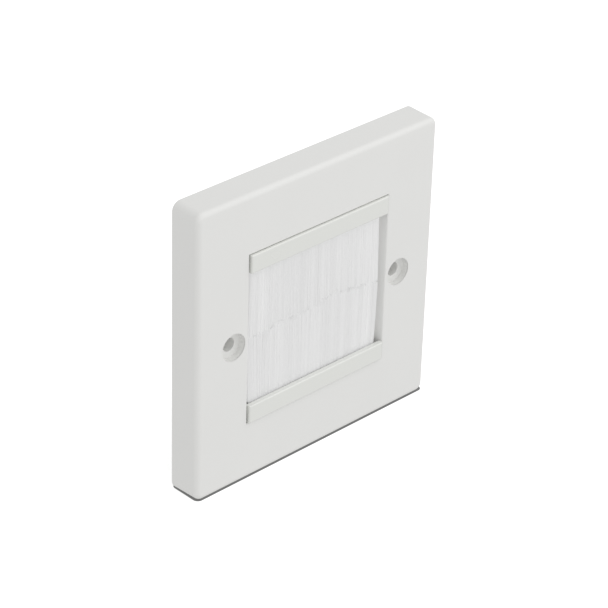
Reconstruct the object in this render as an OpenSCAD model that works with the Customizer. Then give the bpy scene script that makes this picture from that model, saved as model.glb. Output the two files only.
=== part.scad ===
/* [Plate] */
// Width of the plate along the wall
plate_w = 86; // [82:0.5:120]
// Height of the plate up the wall
plate_h = 86; // [82:0.5:120]
// Depth of the plate from the wall to its front face
plate_d = 9.5; // [9:0.1:14]
// Thickness of the front wall
face_t = 2.6; // [2.4:0.1:3.2]
// Thickness of the four side walls
skirt_t = 2.2; // [1.5:0.1:3.5]
// How far each side leans in from the wall to the front
draft = 0.25; // [0.05:0.05:0.8]
// Radius of the corners, seen from the front
corner_r = 2.6; // [2.2:0.1:5]
// Radius of the edge round the front face
edge_r = 1.5; // [0.5:0.1:1.8]

/* [Screw holes] */
// Distance between the two fixing screws
screw_pitch = 60.3; // [60:0.1:66]
// Bore that clears the screw
screw_d = 4; // [3.6:0.1:4.6]
// Bore that takes the screw head
head_d = 8; // [7:0.1:9]
// Depth of the head's seat below the front face
head_depth = 2.1; // [1:0.1:3]
// Rounding at the mouth of the head's bore
head_lip = 0.3; // [0.1:0.05:0.5]
// Wall of the boss round the head's bore
boss_wall = 0.9; // [0.7:0.1:1.5]
// Thickness of the web between boss and side wall
web_t = 1.6; // [1:0.1:3]

/* [Aperture] */
// Width of the aperture
aperture_w = 50.3; // [46:0.1:52]
// Height of the aperture
aperture_h = 50.9; // [46:0.1:60]
// Chamfer round the aperture at the front face
aperture_edge = 0.2; // [0.1:0.05:0.4]
// Thickness of the collar behind the aperture
collar_t = 1.6; // [1.2:0.1:2.4]
// How far the collar stops short of the wall
collar_back = 0.8; // [0.4:0.1:1.5]
// Reach of the ledges that stop the brush holders
stop_reach = 1.6; // [1:0.1:3]
// Thickness of those ledges
stop_t = 1.2; // [0.8:0.1:1.8]
// Length of each ledge
stop_l = 10; // [6:0.5:14]

/* [Brush holder] */
// Height of the strip that shows, above and below the bristles
strip_h = 5.3; // [5:0.1:7]
// How far the strip stands out of the front face
strip_proud = 0.7; // [0.2:0.1:1]
// Gap between each end of the strip and the aperture
end_gap = 0.4; // [0.2:0.05:0.8]
// Gap between the strip's long edge and the aperture
edge_gap = 0.15; // [0.1:0.05:0.5]
// Thickness of the front lip
lip_t = 1.5; // [1.2:0.1:1.8]
// Rounding of the lip's front edges
lip_r = 0.4; // [0.1:0.05:0.6]
// Thickness of the holder's floor, beside the collar
floor_t = 1.2; // [0.8:0.1:1.5]
// Thickness of the holder's back wall
back_t = 1; // [0.8:0.1:1.4]
// Thickness of the spring tongue at each end
tongue_t = 0.8; // [0.6:0.1:1]
// Height of the spring tongue
tongue_h = 2.8; // [2:0.1:3]
// How far the tongue's nib reaches into the collar's window
nib_catch = 0.6; // [0.3:0.05:0.7]
// Length of the nib along the tongue
nib_l = 1.4; // [1:0.1:1.6]

/* [Brush] */
// Gap between each end of the brush and the tongue beside it
tongue_gap = 0.65; // [0.6:0.05:1.5]
// Width of the folded channel that grips the bristles
channel_w = 4.1; // [3.6:0.1:4.3]
// Height of the folded channel
channel_h = 3.5; // [3.2:0.1:3.7]
// Thickness of the channel's sheet
channel_t = 0.4; // [0.3:0.05:0.5]
// How far each jaw is pinched in at the channel's mouth
pinch = 0.1; // [0.05:0.05:0.3]
// Diameter of the core wire that the bristles are folded round
wire_d = 1; // [0.8:0.05:1.2]
// Height at which the two rows of bristles meet, from the centre
meet_z = -0.1; // [-3:0.1:3]
// How far the meeting line rises where the tufts have been pushed up
meet_rise = 1.5; // [0:0.1:2.5]
// How far the meeting line wanders up and down from tuft to tuft
meet_wave = 0.35; // [0:0.05:1]
// Number of tufts in the front row of each brush
tufts = 24; // [12:1:32]
// How much the two rows of tufts spread between jaws and tips
flare = 0.4; // [0:0.05:0.6]
// Gap between neighbouring tufts at their tips
tuft_gap = 0.28; // [0.1:0.02:0.5]

/* [Fits] */
// Clearance between the channel and its slot, each side
slot_clear = 0.1; // [0.05:0.05:0.2]
// Clearance between the bristles and what holds them
bristle_clear = 0.05; // [0.02:0.01:0.1]
// Clearance round the nib in its window, and behind the holder
snap_clear = 0.2; // [0.1:0.05:0.3]
// Gap between the tips of the two rows
tip_gap = 0.3; // [0.1:0.05:0.6]

/* [Hidden] */

// X runs along the wall, Y into it and Z up. Distances named _out are measured
// out of the wall, towards the room, from the plane of the plate's back rim.
over = 1;
hole_fn = 64;
edge_steps = 8;

// The plate
hollow_out = plate_d - face_t;
boss_d = head_d + 2 * boss_wall;
seat_out = plate_d - head_depth;
mouth_w = aperture_w + 4 * aperture_edge;
mouth_h = aperture_h + 4 * aperture_edge;

// The holders, from the front lip back
lip_front_out = plate_d + strip_proud;
lip_back_out = lip_front_out - lip_t;
slot_w = channel_w + 2 * slot_clear;
slot_back_out = lip_back_out - slot_w;
holder_back_out = slot_back_out - back_t;
stop_out = holder_back_out - snap_clear;
strip_l = aperture_w - 2 * end_gap;
brush_l = strip_l - 2 * (tongue_t + tongue_gap);
strip_outer_z = aperture_h / 2 - edge_gap;
strip_inner_z = strip_outer_z - strip_h;
slot_floor_z = strip_outer_z - floor_t;

// The snap at each end
tongue_z = strip_outer_z - tongue_h / 2 - snap_clear;
nib_out = holder_back_out + nib_l;
nib_x = aperture_w / 2 + nib_catch;
body_l = brush_l + 2 * slot_clear;

// The brush, measured from the channel's floor to its mouth
brush_out = (lip_back_out + slot_back_out) / 2;
channel_mouth_z = slot_floor_z - channel_h;
channel_in = channel_w - 2 * channel_t;
jaw_in = channel_in - 2 * pinch;
jaw_h = channel_h / 3;
wire_z = slot_floor_z - channel_h / 2;
pitch = brush_l / tufts;
root_gap = tuft_gap / 3;
tuft_root_w = pitch - root_gap;
tuft_tip_w = pitch - tuft_gap;
tuft_root_d = (jaw_in - root_gap) / 2 - 2 * bristle_clear;
tuft_tip_d = (jaw_in + flare - tuft_gap) / 2 - bristle_clear;
slice_t = channel_t / 2;
rise_x = brush_l / 8;
rise_w = brush_l / 8;
seed = 11;
wander = rands(-1, 1, 2 * tufts, seed);
drift = rands(-1, 1, 2 * tufts, seed + 1);

// Extrudes a front view from one distance out of the wall to another
module outward(from, to) {
    translate([0, -from, 0]) rotate([90, 0, 0]) linear_extrude(to - from) children();
}

// Extrudes a side view, drawn as [-out, z], along X and centres it
module along_wall(length) {
    translate([-length / 2, 0, 0]) rotate([90, 0, 90]) linear_extrude(length) children();
}

// Copies a child from the upper half to the place named by the side, 1 or -1
module at_side(side) {
    rotate([0, side > 0 ? 0 : 180, 0]) children();
}

// Points of a quarter circle about a centre, from a start angle
function quarter(centre, r, start, steps) =
    [for (i = [0:steps]) centre + r * [cos(start + 90 * i / steps), sin(start + 90 * i / steps)]];

// One corner of the plate: a drafted post whose top edge is rounded
module corner_post() {
    front_r = corner_r - draft;
    rotate_extrude($fn = 48)
        polygon(concat([[0, 0], [corner_r, 0]],
            quarter([front_r - edge_r, plate_d - edge_r], edge_r, 0, edge_steps),
            [[0, plate_d]]));
}

// Height of the meeting line at a place along the wall
function meet(x) = meet_z + meet_rise * exp(-pow((x - rise_x) / rise_w, 2));

// The plate's outer form, before it is hollowed
module plate_block() {
    rotate([90, 0, 0]) hull()
        for (x = [-1, 1], y = [-1, 1])
            translate([x * (plate_w / 2 - corner_r), y * (plate_h / 2 - corner_r), 0]) corner_post();
}

// The space between the side walls, open at the wall
module rear_hollow() {
    inside_r = 1;
    w = plate_w - 2 * (skirt_t + draft);
    h = plate_h - 2 * (skirt_t + draft);
    outward(-over, hollow_out) union() {
        square([w - 2 * inside_r, h], center = true);
        square([w, h - 2 * inside_r], center = true);
        for (x = [-1, 1], y = [-1, 1])
            translate([x * (w / 2 - inside_r), y * (h / 2 - inside_r)]) circle(inside_r, $fn = 24);
    }
}

// The bore for one screw: head, seat and clearance hole
module screw_bore() {
    rotate([90, 0, 0]) {
        translate([0, 0, -over]) cylinder(d = screw_d, h = plate_d + 2 * over, $fn = hole_fn);
        translate([0, 0, seat_out]) cylinder(d = head_d, h = head_depth + over, $fn = hole_fn);
        translate([0, 0, plate_d - head_lip])
            rotate_extrude($fn = hole_fn)
                polygon(concat([[0, 0]],
                    [for (p = quarter([head_d / 2 + head_lip, 0], head_lip, 90, 5)) [p.x, head_lip - p.y]],
                    [[head_d / 2 + head_lip, over], [0, over]]));
    }
}

// The boss round one screw, tied to the side wall by a web
module screw_boss() {
    web_l = plate_w / 2 - skirt_t / 2 - screw_pitch / 2;
    rotate([90, 0, 0]) cylinder(d = boss_d, h = plate_d - head_lip - aperture_edge, $fn = hole_fn);
    outward(collar_back, hollow_out + over / 2) translate([0, -web_t / 2]) square([web_l, web_t]);
}

// The walls behind the aperture that carry the brush holders
module collar() {
    outward(collar_back, hollow_out + over / 2)
        square([aperture_w + 2 * collar_t, aperture_h + 2 * collar_t], center = true);
}

// The aperture with its chamfered mouth
module aperture() {
    outward(-over, plate_d + over) square([aperture_w, aperture_h], center = true);
    translate([0, -plate_d + aperture_edge, 0]) rotate([90, 0, 0])
        linear_extrude(2 * aperture_edge, scale = [mouth_w / aperture_w, mouth_h / aperture_h])
            square([aperture_w, aperture_h], center = true);
}

// The window that one nib snaps into
module snap_window() {
    h = tongue_h + 2 * snap_clear;
    outward(nib_out - nib_l - snap_clear, nib_out + snap_clear)
        translate([aperture_w / 2 - over, tongue_z - h / 2]) square([collar_t + 2 * over, h]);
}

// The ledges on one long wall of the collar that stop a holder going in too far
module stop_ledges() {
    for (x = [-1, 1])
        outward(stop_out - stop_t, stop_out)
            translate([x * aperture_w / 4 - stop_l / 2, aperture_h / 2 - stop_reach])
                square([stop_l, stop_reach + collar_t / 2]);
}

module face_plate() {
    color("white") union() {
        difference() {
            union() {
                difference() {
                    plate_block();
                    rear_hollow();
                }
                collar();
                for (side = [-1, 1])
                    at_side(side) translate([screw_pitch / 2, 0, 0]) screw_boss();
            }
            aperture();
            for (side = [-1, 1])
                at_side(side) {
                    translate([screw_pitch / 2, 0, 0]) screw_bore();
                    snap_window();
                    mirror([1, 0, 0]) snap_window();
                }
        }
        for (side = [-1, 1]) at_side(side) stop_ledges();
    }
}

// The strip that shows, with its front edges rounded on all four sides
module front_lip() {
    intersection() {
        along_wall(strip_l) polygon(concat(
            [[-lip_back_out, strip_outer_z]],
            quarter([-lip_front_out + lip_r, strip_outer_z - lip_r], lip_r, 90, edge_steps),
            quarter([-lip_front_out + lip_r, strip_inner_z + lip_r], lip_r, 180, edge_steps),
            [[-lip_back_out, strip_inner_z]]));
        linear_extrude(plate_h / 2) polygon(concat(
            [[strip_l / 2, -lip_back_out], [-strip_l / 2, -lip_back_out]],
            quarter([-strip_l / 2 + lip_r, -lip_front_out + lip_r], lip_r, 180, edge_steps),
            quarter([strip_l / 2 - lip_r, -lip_front_out + lip_r], lip_r, 270, edge_steps)));
    }
}

// One spring tongue with the nib that snaps into the collar
module tongue() {
    outer_x = strip_l / 2;
    translate([0, 0, tongue_z - tongue_h / 2]) linear_extrude(tongue_h) polygon([
        [outer_x - tongue_t, -lip_back_out - lip_t / 4],
        [outer_x, -lip_back_out - lip_t / 4],
        [outer_x, -nib_out],
        [nib_x, -nib_out],
        [nib_x, -nib_out + nib_l / 3],
        [outer_x, -holder_back_out],
        [outer_x - tongue_t, -holder_back_out]]);
}

// The moulded holder as it sits at the top, with its slot opening downwards
module brush_holder() {
    color("whitesmoke") union() {
        front_lip();
        along_wall(body_l) polygon([
            [-lip_back_out - lip_t / 4, strip_outer_z],
            [-lip_back_out - lip_t / 4, slot_floor_z],
            [-slot_back_out, slot_floor_z],
            [-slot_back_out, strip_inner_z + slot_clear],
            [-holder_back_out, strip_inner_z + slot_clear],
            [-holder_back_out, strip_outer_z]]);
        tongue();
        mirror([1, 0, 0]) tongue();
    }
}

// The steel channel folded round the bristles, its jaws pinched at the mouth
module brush_channel() {
    half = channel_w / 2;
    inside = channel_in / 2;
    bend = channel_t;
    jaw_z = channel_mouth_z + jaw_h;
    color("silver") along_wall(brush_l) translate([-brush_out, 0]) polygon([
        [-half + pinch, channel_mouth_z], [-half, jaw_z],
        [-half, slot_floor_z - bend], [-half + bend, slot_floor_z],
        [half - bend, slot_floor_z], [half, slot_floor_z - bend],
        [half, jaw_z], [half - pinch, channel_mouth_z],
        [inside - pinch, channel_mouth_z], [inside, jaw_z],
        [inside, slot_floor_z - channel_t], [-inside, slot_floor_z - channel_t],
        [-inside, jaw_z], [-inside + pinch, channel_mouth_z]]);
}

// The wire that runs through the fold of the bristles
module core_wire() {
    color("darkgray") translate([-brush_l / 2, -brush_out, wire_z]) rotate([0, 90, 0])
        cylinder(d = wire_d, h = brush_l, $fn = 32);
}

// The folded roots of the bristles, packed in the channel round the wire
module bristle_roots() {
    inside = channel_in / 2 - bristle_clear;
    jaw_z = channel_mouth_z + jaw_h;
    difference() {
        along_wall(brush_l) translate([-brush_out, 0]) polygon([
            [-inside + pinch, channel_mouth_z], [-inside, jaw_z],
            [-inside, slot_floor_z - channel_t - bristle_clear],
            [inside, slot_floor_z - channel_t - bristle_clear],
            [inside, jaw_z], [inside - pinch, channel_mouth_z]]);
        translate([-brush_l / 2 - over, -brush_out, wire_z]) rotate([0, 90, 0])
            cylinder(d = wire_d + 2 * bristle_clear, h = brush_l + 2 * over, $fn = 24);
    }
}

// A thin eight-sided slice of a tuft, w wide along the wall and d deep, standing on its lower face
module tuft_slice(w, d) {
    scale([w / cos(22.5), d / cos(22.5), 1]) rotate([0, 0, 22.5]) cylinder(d = 1, h = slice_t, $fn = 8);
}

// One tuft, from the jaws to the meeting line. Row 0 is the front row and row 1 the back row.
module tuft(side, row, i) {
    n = i + row * tufts;
    back = row == 0 ? -1 : 1;
    x = (i + (1 + row) / 2 - tufts / 2) * pitch;
    tip_x = x + drift[n] * tuft_gap / 3;
    tip_z = meet(x) + wander[n] * meet_wave + side * tip_gap / 2;
    root_x = x + wander[n] * bristle_clear / 2;
    root_y = -brush_out + back * (tuft_root_d + root_gap) / 2 + drift[n] * bristle_clear / 2;
    tip_y = -brush_out + back * ((jaw_in + flare) / 2 - bristle_clear - tuft_tip_d / 2);
    hull() {
        translate([root_x, root_y, side * channel_mouth_z - slice_t / 2])
            tuft_slice(tuft_root_w, tuft_root_d);
        translate([tip_x, tip_y, tip_z - (side > 0 ? 0 : slice_t)]) tuft_slice(tuft_tip_w, tuft_tip_d);
    }
}

// A brush's bristles: folded roots in the channel, and two staggered rows of tufts
module bristles(side) {
    color("ghostwhite") {
        at_side(side) bristle_roots();
        for (row = [0, 1], i = [0:tufts - 1 - row]) tuft(side, row, i);
    }
}

face_plate();
brush_holder();  // upper_brush_holder
at_side(-1) brush_holder();  // lower_brush_holder
brush_channel();  // upper_brush_channel
at_side(-1) brush_channel();  // lower_brush_channel
core_wire();  // upper_core_wire
at_side(-1) core_wire();  // lower_core_wire
bristles(1);  // upper_bristles
bristles(-1);  // lower_bristles
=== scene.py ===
# %% [markdown]
# # A brush wall plate
# The real object is a white moulded plate that covers a cable outlet. Two moulded strips sit in
# its aperture, and each holds nylon bristles that close round the cables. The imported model
# already has every rigid piece at its real size, so this script gives those pieces their
# finish, and makes the bristles from single filaments.

import math
import random

import bmesh
import bpy
from mathutils import Matrix, Vector


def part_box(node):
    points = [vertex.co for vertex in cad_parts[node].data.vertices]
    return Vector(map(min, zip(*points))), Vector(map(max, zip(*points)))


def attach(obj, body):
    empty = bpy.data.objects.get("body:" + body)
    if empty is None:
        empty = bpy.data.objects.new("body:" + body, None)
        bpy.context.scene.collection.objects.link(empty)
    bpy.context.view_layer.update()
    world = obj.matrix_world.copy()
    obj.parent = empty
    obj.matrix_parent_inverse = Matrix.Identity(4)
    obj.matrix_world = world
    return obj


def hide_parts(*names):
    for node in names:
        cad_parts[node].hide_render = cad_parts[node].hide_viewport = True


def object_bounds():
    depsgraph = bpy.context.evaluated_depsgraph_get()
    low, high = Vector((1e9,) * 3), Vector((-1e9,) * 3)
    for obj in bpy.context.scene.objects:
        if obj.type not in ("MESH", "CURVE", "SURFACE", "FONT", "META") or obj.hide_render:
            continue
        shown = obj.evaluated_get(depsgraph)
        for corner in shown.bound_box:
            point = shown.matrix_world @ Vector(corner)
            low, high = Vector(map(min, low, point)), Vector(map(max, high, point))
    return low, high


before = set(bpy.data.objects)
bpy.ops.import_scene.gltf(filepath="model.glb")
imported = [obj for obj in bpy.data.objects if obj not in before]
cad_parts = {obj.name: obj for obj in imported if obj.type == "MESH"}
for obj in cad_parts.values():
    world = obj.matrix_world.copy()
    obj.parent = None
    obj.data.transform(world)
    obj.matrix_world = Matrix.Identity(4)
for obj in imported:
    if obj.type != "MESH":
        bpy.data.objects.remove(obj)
MM = 0.001
cad_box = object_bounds()
print("pieces in the model:", sorted(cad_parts))

# %% [markdown]
# ## Small helpers for materials
# A colour is easiest to read as the hex value that a picture editor shows. Blender shades in
# linear light, so one function turns hex into linear. The others each add one kind of shader
# node with its settings and its links, which keeps a material to a few readable lines.

# %% Colour, material and node helpers


def linear(hex_colour):
    """The linear RGBA of an sRGB hex colour such as F4F4F2."""
    channels = [int(hex_colour[i:i + 2], 16) / 255 for i in (0, 2, 4)]
    return [c / 12.92 if c <= 0.04045 else ((c + 0.055) / 1.055) ** 2.4 for c in channels] + [1.0]


def new_material(name):
    """An empty material and its shader, which is already linked to the output."""
    material = bpy.data.materials.new(name)
    material.use_nodes = True
    return material, material.node_tree.nodes["Principled BSDF"]


def add_node(material, kind, settings=None, inputs=None, links=None):
    """Adds a node: settings are its properties, inputs are socket values, links feed its sockets."""
    node = material.node_tree.nodes.new(kind)
    for key, value in (settings or {}).items():
        setattr(node, key, value)
    for key, value in (inputs or {}).items():
        node.inputs[key].default_value = value
    for key, source in (links or {}).items():
        material.node_tree.links.new(source, node.inputs[key])
    return node


def feed(material, source, shader, socket):
    """Links one output to a named socket of the shader."""
    material.node_tree.links.new(source, shader.inputs[socket])


# %% Helpers for one kind of node each


def object_place(material):
    """Object coordinates, which are metres on these pieces."""
    return add_node(material, "ShaderNodeTexCoord").outputs["Object"]


def noise(material, place, feature_mm, detail):
    """Noise between 0 and 1 with features of about that many millimetres."""
    return add_node(material, "ShaderNodeTexNoise",
                    inputs={"Scale": 1 / (feature_mm * MM), "Detail": detail},
                    links={"Vector": place}).outputs["Fac"]


def blend(material, hex_a, hex_b, factor):
    """A colour that goes from the first hex colour to the second as the factor goes from 0 to 1."""
    return add_node(material, "ShaderNodeMix", {"data_type": "RGBA"},
                    {"A": linear(hex_a), "B": linear(hex_b)}, {"Factor": factor}).outputs["Result"]


def remap(material, value, inputs, interpolation="LINEAR"):
    """Maps a value to another range, and both ranges are 0 to 1 unless the inputs say more."""
    return add_node(material, "ShaderNodeMapRange", {"interpolation_type": interpolation},
                    inputs, {"Value": value}).outputs["Result"]


def vector_step(material, operation, vector, constant=None):
    """One vector operation, with a constant as its second operand where it has one."""
    inputs = {} if constant is None else {1: constant}
    return add_node(material, "ShaderNodeVectorMath", {"operation": operation}, inputs, {0: vector})


# %% [markdown]
# ## Moulded plastic
# The plate is pressed from white urea and the strips from ABS. Both come out of a tool whose
# walls were spark-eroded, so the surface is satin, with a grain of a few tenths of a
# millimetre. An image of such a grain could be wrapped on, but noise on Object coordinates
# needs no unwrapping and has the same size on every piece. A second, slow noise shifts the
# tone and the gloss by a hair, because no moulding is quite even.

# %% Moulded plastic
gloss_drift = 0.04


def moulded_plastic(name, hex_a, hex_b, grain_mm, grain_depth_mm, roughness, clouds_mm):
    """Satin moulded plastic with an eroded grain and a slow drift in tone and gloss."""
    material, shader = new_material(name)
    place = object_place(material)
    clouds = noise(material, place, clouds_mm, 2.0)
    feed(material, blend(material, hex_a, hex_b, clouds), shader, "Base Color")
    gloss = {"To Min": roughness - gloss_drift, "To Max": roughness + gloss_drift}
    feed(material, remap(material, clouds, gloss), shader, "Roughness")
    bump = add_node(material, "ShaderNodeBump",
                    inputs={"Strength": 1.0, "Distance": grain_depth_mm * MM},
                    links={"Height": noise(material, place, grain_mm, 3.0)})
    feed(material, bump.outputs["Normal"], shader, "Normal")
    shader.inputs["IOR"].default_value = 1.5
    return material


urea = moulded_plastic("white_moulded_urea", "E8E8E6", "E5E5E3", 0.4, 0.004, 0.55, 18)
abs_plastic = moulded_plastic("warm_white_abs", "E4E5E1", "E2E3DF", 0.35, 0.004, 0.26, 9)
print("plastics:", urea.name, abs_plastic.name)

# %% [markdown]
# ## Zinc-plated steel
# The channel and the core wire are bright zinc over steel. Zinc plating is a metal with a
# cloudy, slightly blue sheen. These pieces sit deep in the strips, so one noise that moves the
# tone and the gloss together is enough.

# %% Zinc-plated steel
zinc, zinc_shader = new_material("zinc_plated_steel")
zinc_shader.inputs["Metallic"].default_value = 1.0
zinc_clouds = noise(zinc, object_place(zinc), 2, 4.0)
feed(zinc, blend(zinc, "B4B8BE", "D0D3D6", zinc_clouds), zinc_shader, "Base Color")
feed(zinc, remap(zinc, zinc_clouds, {"To Min": 0.25, "To Max": 0.45}), zinc_shader, "Roughness")
print("metal:", zinc.name)

# %% [markdown]
# ## Nylon filament
# A nylon bristle is a clear-white extruded thread, 0.2 mm thick. Light goes in one filament
# and out of the next, so a bundle has no deep shadows and looks whiter than any one of them.
# Tracing that through thousands of threads is slow, so each thread is pale grey with a painted
# glow, an emission that stands in for the light passed on from thread to thread. The painted
# glow fades out behind the lip of the strip, where no light gets in. Each thread also carries a
# random value as an attribute, which moves its tone and gives the curtain its fine upright streaks.

# %% Nylon filament
# Painted light: how strong the painted glow is, and where it fades out just behind the lip
painted_glow_strength = 0.46
painted_glow_full_in = 0.35 * MM
painted_glow_none_in = 0.6 * MM
nylon, nylon_shader = new_material("white_nylon_filament")
nylon_shader.inputs["Roughness"].default_value = 0.35
nylon_shader.inputs["IOR"].default_value = 1.53
shade = add_node(nylon, "ShaderNodeAttribute", {"attribute_name": "filament"}).outputs["Fac"]
nylon_tone = blend(nylon, "C7C7C7", "CDCDCD", shade)
feed(nylon, nylon_tone, nylon_shader, "Base Color")
feed(nylon, nylon_tone, nylon_shader, "Emission Color")
height = add_node(nylon, "ShaderNodeSeparateXYZ", links={"Vector": object_place(nylon)}).outputs["Z"]
from_centre = add_node(nylon, "ShaderNodeMath", {"operation": "ABSOLUTE"}, links={0: height})
lip_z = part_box("upper_brush_holder")[0].z
# Painted glow: full on the open curtain, none just behind the lip, where the real shade falls
painted_glow = remap(nylon, from_centre.outputs["Value"],
             {"From Min": lip_z + painted_glow_full_in, "From Max": lip_z + painted_glow_none_in,
              "To Min": painted_glow_strength, "To Max": 0.0}, "SMOOTHSTEP")
feed(nylon, painted_glow, nylon_shader, "Emission Strength")
print("bristles:", nylon.name, "glow until", round((lip_z + painted_glow_none_in) / MM, 2), "mm from the centre")

# %% [markdown]
# ## Finish the rigid pieces
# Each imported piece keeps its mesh, and only its material slot changes.

# %% Finish the rigid pieces
finishes = {"face_plate": urea, "brush_holder": abs_plastic, "brush_channel": zinc, "core_wire": zinc}
for node_name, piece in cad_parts.items():
    for ending, material in finishes.items():
        if node_name.endswith(ending):
            piece.data.materials.clear()
            piece.data.materials.append(material)
            print(node_name, "gets", material.name)

# %% [markdown]
# ## The bristles
# A strip brush is a bundle of filaments folded round a wire and gripped in a channel. The
# filaments leave the jaws packed and upright, then bunch into loose tufts whose tips part.
# One way to make them is a particle system, but its strands can't be exported. Here each
# filament is one spline of a curve object whose bevel gives it thickness, and the curve is
# then made a mesh. A bunch is a centre along the wall: the tips of its filaments are drawn
# towards it and share its lean and its length.

# %% Sizes of a brush
filament_d = 0.2 * MM
rows = 15
pack_d = 2.8 * MM  # depth of the brush at the jaws
spread = 0.25 * MM  # how much further out the first and last rows are at their tips
root_in = 1.5 * MM  # length of a filament inside the channel
tip_gap = 0.4 * MM
fan_left = {1: 0.85 * MM, -1: 1.3 * MM}  # how far the brush above and the one below fan out
fan_right = 0.5 * MM
jaws = {}
for side, channel in ((1, "upper_brush_channel"), (-1, "lower_brush_channel")):
    low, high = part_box(channel)
    jaws[side] = {"mouth_z": low.z if side > 0 else high.z, "y": (low.y + high.y) / 2,
                  "half_l": high.x}
print("jaws at", jaws)

# %% How much the filaments differ
bunch_w = 1.4 * MM
bunch_step = (0.5, 1.5)  # least and most distance to the next bunch, in bunch widths
bunch_lean_mm, bunch_length_mm, bunch_forward_mm = 0.05, 0.3, 0.04
tip_lean_mm, tip_length_mm, tip_forward_mm = 0.05, 0.3, 0.03
pull_most = 0.08  # the most that a tip is drawn to the centre of its bunch
along_jitter, depth_jitter = 0.2, 0.15  # in filament widths
bunch_tone_share = 0.65
levels = (0.0, 0.12, 0.45, 0.8, 1.0)  # where a filament has its points, from root to tip
fan_power, fan_onset, pull_onset = 5, 0.6, 4

# %% [markdown]
# ## The line where the tips meet
# The two brushes don't meet on a straight line, because filaments settle unevenly in their
# channel. The line here is a list of points in millimetres, joined by straight pieces, since
# a random line would not have its steps where this plate has them.

# %% The line where the tips meet
meeting_line = ((-24, -0.2), (-17.5, -0.9), (-13, 0.6), (-8, 0.0), (0, 0.4), (5, 1.8), (10, 1.0),
                (14, 0.3), (19, -0.7), (24, -1.6))


def meet(x):
    """Height of the line where the tips meet, between the two points on either side of x."""
    for (x0, z0), (x1, z1) in zip(meeting_line, meeting_line[1:]):
        if x <= x1 * MM:
            return (z0 + (z1 - z0) * (x / MM - x0) / (x1 - x0)) * MM
    return meeting_line[-1][1] * MM


# %% Bunches and filaments


def bunches(rng, half_l):
    """Centres of the bunches along the wall, each with its own lean, length, depth and tone."""
    found = []
    x = -half_l
    while x < half_l + bunch_w:
        found.append({"x": x, "lean": rng.gauss(0, bunch_lean_mm) * MM,
                      "longer": rng.gauss(0, bunch_length_mm) * MM,
                      "forward": rng.gauss(0, bunch_forward_mm) * MM, "tone": rng.random()})
        x += bunch_w * rng.uniform(*bunch_step)
    return found


def add_filament(curve, root, tip, splay):
    """One filament from root to tip: it fans out early, and bends to its bunch near the tip."""
    spline = curve.splines.new("POLY")
    spline.points.add(len(levels) - 1)
    for point, t in zip(spline.points, levels):
        x = root[0] + splay * t ** fan_onset + (tip[0] - root[0]) * t ** pull_onset
        y = root[1] + (tip[1] - root[1]) * math.sqrt(t)
        z = root[2] + (tip[2] - root[2]) * t
        point.co = (x, y, z, 1)


def grow(curve, side, seed):
    """Fills a curve with the filaments of one brush (1 above, -1 below) and returns their tones."""
    rng = random.Random(seed)
    jaw = jaws[side]
    groups = bunches(rng, jaw["half_l"])
    columns = int(2 * jaw["half_l"] / filament_d) - 1
    tones = []
    for row in range(rows):
        depth = 2 * row / (rows - 1) - 1
        stagger = (row % 2) / 2
        for column in range(columns):
            jitter = rng.uniform(-along_jitter, along_jitter)
            x = (column - (columns - 1) / 2 + stagger + jitter) * filament_d
            group = min(groups, key=lambda g: abs(g["x"] - x))
            fan = fan_left[side] if x < 0 else fan_right
            splay = fan * (2 * column / (columns - 1) - 1) ** fan_power
            pulled = x + (group["x"] - x) * rng.uniform(0.0, pull_most) + group["lean"]
            tip_x = pulled + rng.gauss(0, tip_lean_mm) * MM
            in_row = rng.uniform(-depth_jitter, depth_jitter) * filament_d
            root_y = jaw["y"] + depth * (pack_d / 2) + in_row
            out = jaw["y"] + depth * (pack_d / 2 + spread) + group["forward"]
            tip_y = out + rng.gauss(0, tip_forward_mm) * MM
            root_z = jaw["mouth_z"] + side * root_in
            even_z = meet(x) + side * tip_gap / 2 + group["longer"]
            tip_z = even_z + rng.gauss(0, tip_length_mm) * MM
            add_filament(curve, (x, root_y, root_z), (tip_x, tip_y, tip_z), splay)
            tones.append(bunch_tone_share * group["tone"] + (1 - bunch_tone_share) * rng.random())
    return tones


# %% From curve to mesh


def brush_piece(name, side, seed):
    """One brush as a mesh of round filaments, each with its tone as an attribute."""
    curve = bpy.data.curves.new(name, "CURVE")
    curve.dimensions = "3D"
    curve.bevel_depth = filament_d / 2
    curve.bevel_resolution = 0
    curve.use_fill_caps = True
    tones = grow(curve, side, seed)
    strands = bpy.data.objects.new(name + "_curve", curve)
    bpy.context.scene.collection.objects.link(strands)
    evaluated = strands.evaluated_get(bpy.context.evaluated_depsgraph_get())
    mesh = bpy.data.meshes.new_from_object(evaluated)
    bpy.data.objects.remove(strands)
    mesh.name = name
    per_filament = len(mesh.vertices) // len(tones)
    attribute = mesh.attributes.new("filament", "FLOAT", "POINT")
    values = [tones[i // per_filament] for i in range(len(mesh.vertices))]
    attribute.data.foreach_set("value", values)
    mesh.shade_smooth()
    mesh.materials.clear()
    mesh.materials.append(nylon)
    piece = bpy.data.objects.new(name, mesh)
    bpy.context.scene.collection.objects.link(piece)
    triangles = sum(len(polygon.vertices) - 2 for polygon in mesh.polygons)
    print(name, len(tones), "filaments,", triangles, "triangles")
    return piece


for name, node_name, side, seed in (("upper_filaments", "upper_bristles", 1, 5),
                                    ("lower_filaments", "lower_bristles", -1, 8)):
    brush = brush_piece(name, side, seed)
    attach(brush, "root")
    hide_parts(node_name)

# %% [markdown]
# ## The stage
# The plate stands on a white table in soft light. The table glows a little, like a light
# table, so that it stays white round the plate. Only the camera sees that glow.

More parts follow.
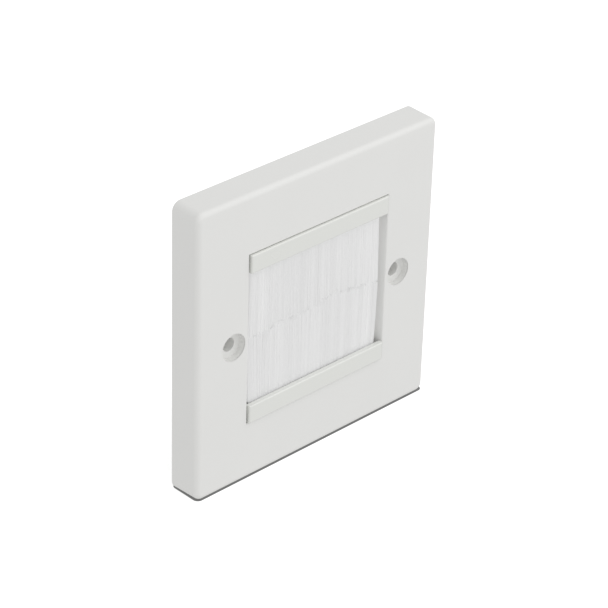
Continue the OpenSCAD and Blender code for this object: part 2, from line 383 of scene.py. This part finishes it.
# %% Table
table_half = 4.0
table_glow = 0.35
floor_mesh = bpy.data.meshes.new("floor")
floor_bm = bmesh.new()
bmesh.ops.create_grid(floor_bm, x_segments=1, y_segments=1, size=table_half,
                      matrix=Matrix.Translation((0, 0, cad_box[0][2])))
floor_bm.to_mesh(floor_mesh)
floor_bm.free()
floor = bpy.data.objects.new("floor", floor_mesh)
bpy.context.scene.collection.objects.link(floor)
table, table_shader = new_material("white_light_table")
table_shader.inputs["Roughness"].default_value = 0.8
table_shader.inputs["Specular IOR Level"].default_value = 0.0
table_shader.inputs["Emission Strength"].default_value = table_glow
floor_mesh.materials.append(table)
floor.visible_diffuse = False
floor.visible_glossy = False
print("table at", round(cad_box[0][2] / MM, 1), "mm")

# %% [markdown]
# ## Where the plate meets the table
# Hardly any light gets in where the plate's rounded edges overhang the table, so a real table
# has a thin dark line there. Light that is even enough for a white picture leaves no shadow
# that dark, so the table's material has it: a rounded rectangle under the plate, a little
# smaller than the plate on the left and in front, and with a soft border.

# %% Contact shade
contact_inset = Vector((1.98, 1.05, 0)) * MM
contact_shift = Vector((0.48, 0.85, 0)) * MM
contact_r = 1.5 * MM
contact_fade = 0.2 * MM
contact_tone = 0.16
plate_low, plate_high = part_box("face_plate")
shade_middle = (plate_low + plate_high) / 2 + contact_shift
shade_half = (plate_high - plate_low) / 2 - contact_inset
from_middle = vector_step(table, "SUBTRACT", object_place(table), shade_middle).outputs["Vector"]
folded = vector_step(table, "ABSOLUTE", from_middle).outputs["Vector"]
beyond = vector_step(table, "SUBTRACT", folded, shade_half).outputs["Vector"]
outside = vector_step(table, "MAXIMUM", beyond, (0, 0, 0)).outputs["Vector"]
clear_by = vector_step(table, "LENGTH", outside).outputs["Value"]
open_sky = remap(table, clear_by, {"From Min": contact_r, "From Max": contact_r + contact_fade,
                                   "To Min": contact_tone}, "SMOOTHSTEP")
feed(table, open_sky, table_shader, "Base Color")
feed(table, open_sky, table_shader, "Emission Color")
print("contact shade", [round(2 * (side + contact_r) / MM, 1) for side in shade_half[:2]], "mm")

# %% [markdown]
# ## Light
# The photograph is nearly shadowless: the front is a little darker than the table, and the
# left side darker again. An even white surrounding gives most of that. Three large softboxes
# then set how bright the left side, the front and the top are against each other, which an
# even surrounding alone can't do.

# %% Light
world_strength = 0.7
world = bpy.data.worlds.new("studio")
bpy.context.scene.world = world
world.use_nodes = True
background = world.node_tree.nodes["Background"]
background.inputs["Color"].default_value = (1, 1, 1, 1)
background.inputs["Strength"].default_value = world_strength


def softbox(name, size, place, power):
    """A square area light at a place, aimed at the plate."""
    light = bpy.data.lights.new(name, "AREA")
    light.shape = "SQUARE"
    light.size = size
    light.energy = power
    lamp = bpy.data.objects.new(name, light)
    aim = (-Vector(place)).to_track_quat("-Z", "Y")
    lamp.matrix_world = Matrix.Translation(place) @ aim.to_matrix().to_4x4()
    bpy.context.scene.collection.objects.link(lamp)
    print(name, size, "m,", power, "W")


softbox("side_softbox", 1.0, (-1.4, -0.25, 0.5), 1.0)
softbox("front_softbox", 1.2, (-0.7, -1.4, 0.2), 3.6)
softbox("right_softbox", 1.2, (0.8, -0.8, 1.1), 7.3)

# %% [markdown]
# ## The camera
# The place, the turn and the lens come from fitting a camera to the plate's outline in the
# photograph: the plate is seen from the left and from above, with a long lens.

# %% Camera
azimuth, elevation, roll = math.radians(-44.657), math.radians(30.302), math.radians(1.731)
distance = 691.27 * MM
target = Vector((4.112, 0, -4.329)) * MM
focal_px, picture_px, sensor_mm = 2575.1, 608, 36
back = Vector((math.sin(azimuth) * math.cos(elevation), -math.cos(azimuth) * math.cos(elevation),
               math.sin(elevation)))
level = Vector((math.cos(azimuth), math.sin(azimuth), 0))
upright = back.cross(level)
right = level * math.cos(roll) + upright * math.sin(roll)
top = upright * math.cos(roll) - level * math.sin(roll)
lens = bpy.data.cameras.new("camera")
lens.sensor_width = sensor_mm
lens.lens = focal_px / picture_px * sensor_mm
lens.clip_start = 0.01
camera = bpy.data.objects.new("camera", lens)
camera.matrix_world = Matrix.Translation(target + back * distance) @ Matrix(
    (right, top, back)).transposed().to_4x4()
bpy.context.scene.collection.objects.link(camera)
bpy.context.scene.camera = camera
bpy.context.scene.view_settings.view_transform = "Standard"
bpy.context.scene.view_settings.look = "None"
print("lens", round(lens.lens, 1), "mm")
